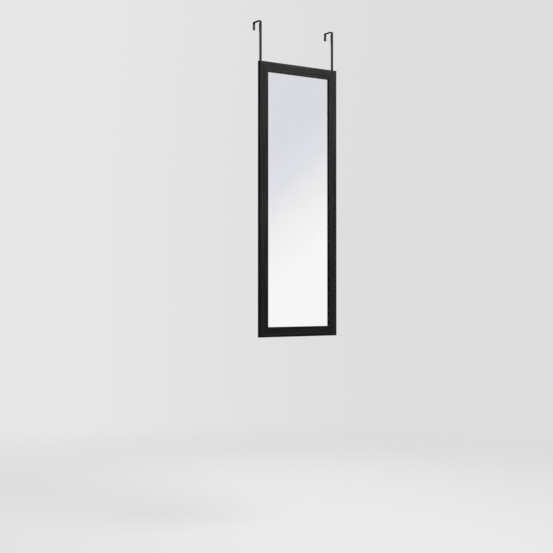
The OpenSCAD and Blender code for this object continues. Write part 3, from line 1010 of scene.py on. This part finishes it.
def stadium(name, width, low, high, corner, thickness):
    """A rounded plate in the XZ plane, from y = 0 to y = -thickness, open in edit mode."""
    plate = add_sheet(name, (width, high - low), (0.0, 0.0, (low + high) / 2), (math.pi / 2, 0.0, 0.0))
    pick_all()
    bpy.ops.mesh.bevel(offset=corner, segments=CORNER_STEPS, affect="VERTICES")
    bpy.ops.mesh.select_mode(type="FACE")
    bpy.ops.mesh.select_all(action="SELECT")
    extrude((0.0, -thickness, 0.0))
    return plate


def mark_eased(piece):
    """Marks the faces that look along no axis, so that the finish can rub them."""
    marks = piece.data.attributes.new("eased", "FLOAT", "FACE")
    for face, mark in zip(piece.data.polygons, marks.data):
        mark.value = 1.0 if max(abs(value) for value in face.normal) < UNEASED else 0.0


def model_strap():
    """The strap as it is made: a punched blank with eased edges, bent twice."""
    blank = stadium("strap", STRAP_W, FOOT_Z, FOOT_Z + BLANK_L, STRAP_CORNER_R, STRAP_T)
    close_piece(blank)
    slot_low = SCREW_ZS[1] - SLOT_W / 2
    slot_high = SCREW_ZS[0] + TRAVEL + SLOT_W / 2
    punch = stadium("punch", SLOT_W, slot_low, slot_high, SLOT_W / 2 - NEAR, 3 * STRAP_T)
    close_piece(punch)
    shift(punch, (0.0, STRAP_T, 0.0))
    cut(blank, punch)
    discard(punch)
    choose(blank)
    bpy.ops.object.mode_set(mode="EDIT")
    bpy.ops.mesh.select_mode(type="EDGE")
    bpy.ops.mesh.select_all(action="DESELECT")
    bpy.ops.mesh.edges_select_sharp(sharpness=math.radians(SHARP_ANGLE))
    bpy.ops.mesh.bevel(offset=STRAP_EASE, segments=STRAP_EASE_STEPS, affect="EDGES")
    starts = [(FRONT_BEND_Z, FRONT_ARC), (FRONT_BEND_Z + FRONT_ARC + ARM_RUN, REAR_ARC)]
    for start, arc in starts:
        for n in range(BEND_CUTS + 1):
            slice_across((0.0, 0.0, start + arc * n / BEND_CUTS), (0.0, 0.0, 1.0))
    bpy.ops.object.mode_set(mode="OBJECT")
    mark_eased(blank)
    bpy.ops.object.mode_set(mode="EDIT")
    move_points(blank, bend)
    close_piece(blank, STRAP_ANGLE)
    finish_with(blank, "WEIGHTED_NORMAL", keep_sharp=True)
    return blank


def add_straps():
    strap = model_strap()
    for name, side in SIDES.items():
        piece = copy_piece(strap, name + "_strap")
        shift(piece, (side * STRAP_X, 0.0, 0.0))
        hand_over(piece, name + "_hanger", "hook_black", FINISHES["hook_black"], name + "_hook")
    discard(strap)


add_straps()


# ---- Foam and rubber ----

def model_pad(name, width, length, thickness):
    """A die-cut foam pad from z = 0 up and from y = 0 to y = -thickness, its sides just bulged."""
    pad = stadium(name, width, 0.0, length, PAD_CORNER_R, thickness)
    for level in PAD_LEVELS:
        slice_across((0.0, -thickness * level, 0.0), (0.0, 1.0, 0.0))
    pick(pad, "VERT", lambda p: NEAR < -p.y < thickness - NEAR)
    growth = (1 + PAD_BULGE / (width / 2), 1.0, 1 + PAD_BULGE / (length / 2))
    bpy.ops.transform.resize(value=growth, center_override=(0.0, 0.0, length / 2))
    pick(pad, "FACE", lambda middle, normal: abs(normal.y) > FACING)
    bpy.ops.mesh.inset(thickness=PAD_SUPPORT, use_individual=True)
    close_piece(pad, SOFT_ANGLE)
    finish_with(pad, "SUBSURF", levels=PAD_ROUNDING, render_levels=PAD_ROUNDING)
    return pad


def add_pads():
    """Foam on each strap: behind its top, under its arm and inside its rear leg."""
    face_pad = model_pad("face_pad", PAD_W, FACE_PAD_HIGH.z - FACE_PAD_LOW.z, -FACE_PAD_LOW.y)
    arm_pad = model_pad("arm_pad", PAD_W, ARM_PAD_HIGH.y - ARM_PAD_LOW.y, ARM_PAD_HIGH.z)
    leg_pad = model_pad("leg_pad", PAD_W, LEG_PAD_HIGH.z - LEG_PAD_LOW.z, LEG_Y - LEG_PAD_LOW.y)
    arm_pad.rotation_euler = (-math.pi / 2, 0.0, 0.0)
    choose(arm_pad)
    bpy.ops.object.transform_apply(rotation=True)
    kinds = [
        (face_pad, "face_foam", "front_pad", (0.0, 0.0, FACE_PAD_LOW.z)),
        (arm_pad, "arm_foam", "top_pad", (0.0, ARM_PAD_LOW.y, 0.0)),
        (leg_pad, "leg_foam", "rear_pad", (0.0, LEG_Y, LEG_PAD_LOW.z)),
    ]
    for pad, name, node, (x, y, z) in kinds:
        for side_name, side in SIDES.items():
            piece = copy_piece(pad, f"{side_name}_{name}")
            shift(piece, (side * STRAP_X, y, z))
            hand_over(piece, side_name + "_hanger", "pad_foam", FINISHES["pad_foam"],
                      f"{side_name}_{node}")
        discard(pad)


def add_glass():
    """The mirror's sheet: clear glass with ground arrises, whose back face is its silver."""
    size = (GLASS_HIGH.x - GLASS_LOW.x, GLASS_HIGH.z - GLASS_LOW.z)
    front = GLASS_LOW.y + GLASS_SEAT
    back = GLASS_HIGH.y - GLASS_SEAT
    place = (0.0, back, (GLASS_LOW.z + GLASS_HIGH.z) / 2)
    sheet = add_sheet("silvered_sheet", size, place, (math.pi / 2, 0.0, 0.0))
    pick_all()
    extrude((0.0, front - back, 0.0))
    pick_all()
    bpy.ops.mesh.bevel(offset=GLASS_ARRIS, segments=1, affect="EDGES")
    close_piece(sheet)
    hand_over(sheet, "mirror", "silvered_glass", FINISHES["silvered_glass"], "mirror_glass")
    sheet.data.materials.append(SILVER)
    for face in sheet.data.polygons:
        face.material_index = int(face.normal.y > FACING)


def add_liner():
    """Thin foam sheet pressed between the glass and the board."""
    width = LINER_HIGH.x - LINER_LOW.x
    thickness = LINER_HIGH.y - LINER_LOW.y
    liner = stadium("foam_sheet", width, LINER_LOW.z, LINER_HIGH.z, PAD_CORNER_R, thickness)
    pick(liner, "FACE", lambda middle, normal: abs(normal.y) > FACING)
    bpy.ops.mesh.bevel(offset=thickness / 4, segments=LINER_EASE_STEPS, affect="EDGES")
    close_piece(liner, SOFT_ANGLE)
    shift(liner, (0.0, LINER_HIGH.y, 0.0))
    hand_over(liner, "mirror", "liner_foam", FINISHES["liner_foam"], "foam_liner")


def add_bumpers():
    rim = BUMPER_R - BUMPER_DRAFT
    round_h = BUMPER_R - BUMPER_FLAT_R
    outline = [(0.0, 0.0), (BUMPER_R, 0.0), (BUMPER_R, BUMPER_FOOT),
               (rim, BUMPER_FOOT + BUMPER_DRAFT)]
    for n in range(ARC_STEPS + 1):
        angle = math.pi / 2 * n / ARC_STEPS
        outline.append((BUMPER_FLAT_R + (rim - BUMPER_FLAT_R) * math.cos(angle),
                        BUMPER_T - round_h + round_h * math.sin(angle)))
    outline.append((0.0, BUMPER_T))
    bumper = lathe("bumper", outline, ROUND_STEPS)
    for name, side in SIDES.items():
        piece = copy_piece(bumper, name + "_rubber_bumper")
        shift(piece, (side * STRAP_X, BACK_Y, BUMPER_Z))
        hand_over(piece, "mirror", "bumper_rubber", FINISHES["bumper_rubber"], name + "_bumper")
    discard(bumper)


add_pads()
add_glass()
add_liner()
add_bumpers()


# ---- Clamp screws and washers ----

def screw_outline():
    """Outline of head and shank as (radius, height) points, with many rings along the thread."""
    dome_h = HEAD_H - HEAD_RIM_H
    dome_r = (HEAD_R ** 2 + dome_h ** 2) / (2 * dome_h)
    outline = []
    for n in range(ARC_STEPS + 1):
        radius = HEAD_R * n / ARC_STEPS
        outline.append((radius, HEAD_H - dome_r + math.sqrt(dome_r ** 2 - radius ** 2)))
    outline += [(HEAD_R, HEAD_EASE), (HEAD_R - HEAD_EASE, 0.0)]
    for n in range(THREAD_STEPS + 1):
        depth = SCREW_L * n / THREAD_STEPS
        left = min(1.0, (SCREW_L - depth) / SCREW_POINT_L)
        outline.append((max(SCREW_R * left, SCREW_POINT_R), -depth))
    outline.append((0.0, -SCREW_L))
    return outline


def cut_thread(point):
    """Sinks the shank between the turns of a helix; the head stays as it is."""
    if point.y > -THREAD_PITCH:
        return point
    turn = (point.y / THREAD_PITCH - math.atan2(point.z, point.x) / (2 * math.pi)) % 1.0
    radius = math.hypot(point.x, point.z)
    if radius < NEAR:
        return point
    crest = max(0.0, 1 - abs(2 * turn - 1) / THREAD_WIDTH)
    sunk = max(radius - THREAD_DEPTH * (1 - crest) * radius / SCREW_R, 0.0) / radius
    return Vector((point.x * sunk, point.y, point.z * sunk))


def cross_cutter():
    """Two tapered bars that cut the cross recess into a screw's head."""
    bars = []
    for turn in (0.0, math.pi / 2):
        place = (0.0, HEAD_H + RECESS_D, 0.0)
        bar = add_sheet("bar", (RECESS_L, RECESS_W), place, (-math.pi / 2, turn, 0.0))
        pick_all()
        extrude((0.0, -2 * RECESS_D, 0.0))
        bpy.ops.transform.resize(value=(RECESS_TAPER, 1.0, RECESS_TAPER), center_override=place)
        bars.append(close_piece(bar))
    return bars


def model_screw():
    screw = lathe("screw", screw_outline(), SCREW_STEPS)
    choose(screw)
    bpy.ops.object.mode_set(mode="EDIT")
    move_points(screw, cut_thread)
    close_piece(screw)
    bars = cross_cutter()
    cut(screw, *bars)
    discard(*bars)
    choose(screw)
    bpy.ops.object.shade_smooth_by_angle(angle=math.radians(HARD_ANGLE))
    return screw


def model_washer():
    outline = [(WASHER_HOLE_R, 0.0), (WASHER_R - WASHER_EASE, 0.0), (WASHER_R, -WASHER_EASE),
               (WASHER_R, -WASHER_T), (WASHER_HOLE_R, -WASHER_T), (WASHER_HOLE_R, 0.0)]
    return lathe("washer", outline, ROUND_STEPS)


def add_clamps():
    """Two screws and two washers at each strap's foot."""
    screw = model_screw()
    washer = model_washer()
    for side_name, side in SIDES.items():
        for model, name, node in ((screw, "threaded_screws", "clamp_screws"),
                                  (washer, "plain_washers", "clamp_washers")):
            copies = []
            for z in SCREW_ZS:
                copies.append(copy_piece(model, "clamp_copy"))
                shift(copies[-1], (side * STRAP_X, SEAT_Y, z))
            pair = join(f"{side_name}_{name}", copies)
            hand_over(pair, "mirror", "screw_zinc", FINISHES["screw_zinc"], f"{side_name}_{node}")
    discard(screw, washer)


add_clamps()


# ---- Nodes that keep their own shape ----

for part in frame["record"]["subparts"]:
    if part["node"] in ("backing_board", "corner_nails", "retaining_points"):
        mesh = frame["nodes"][part["node"]].data
        mesh.materials.clear()
        mesh.materials.append(FINISHES[part["material_slot"]])
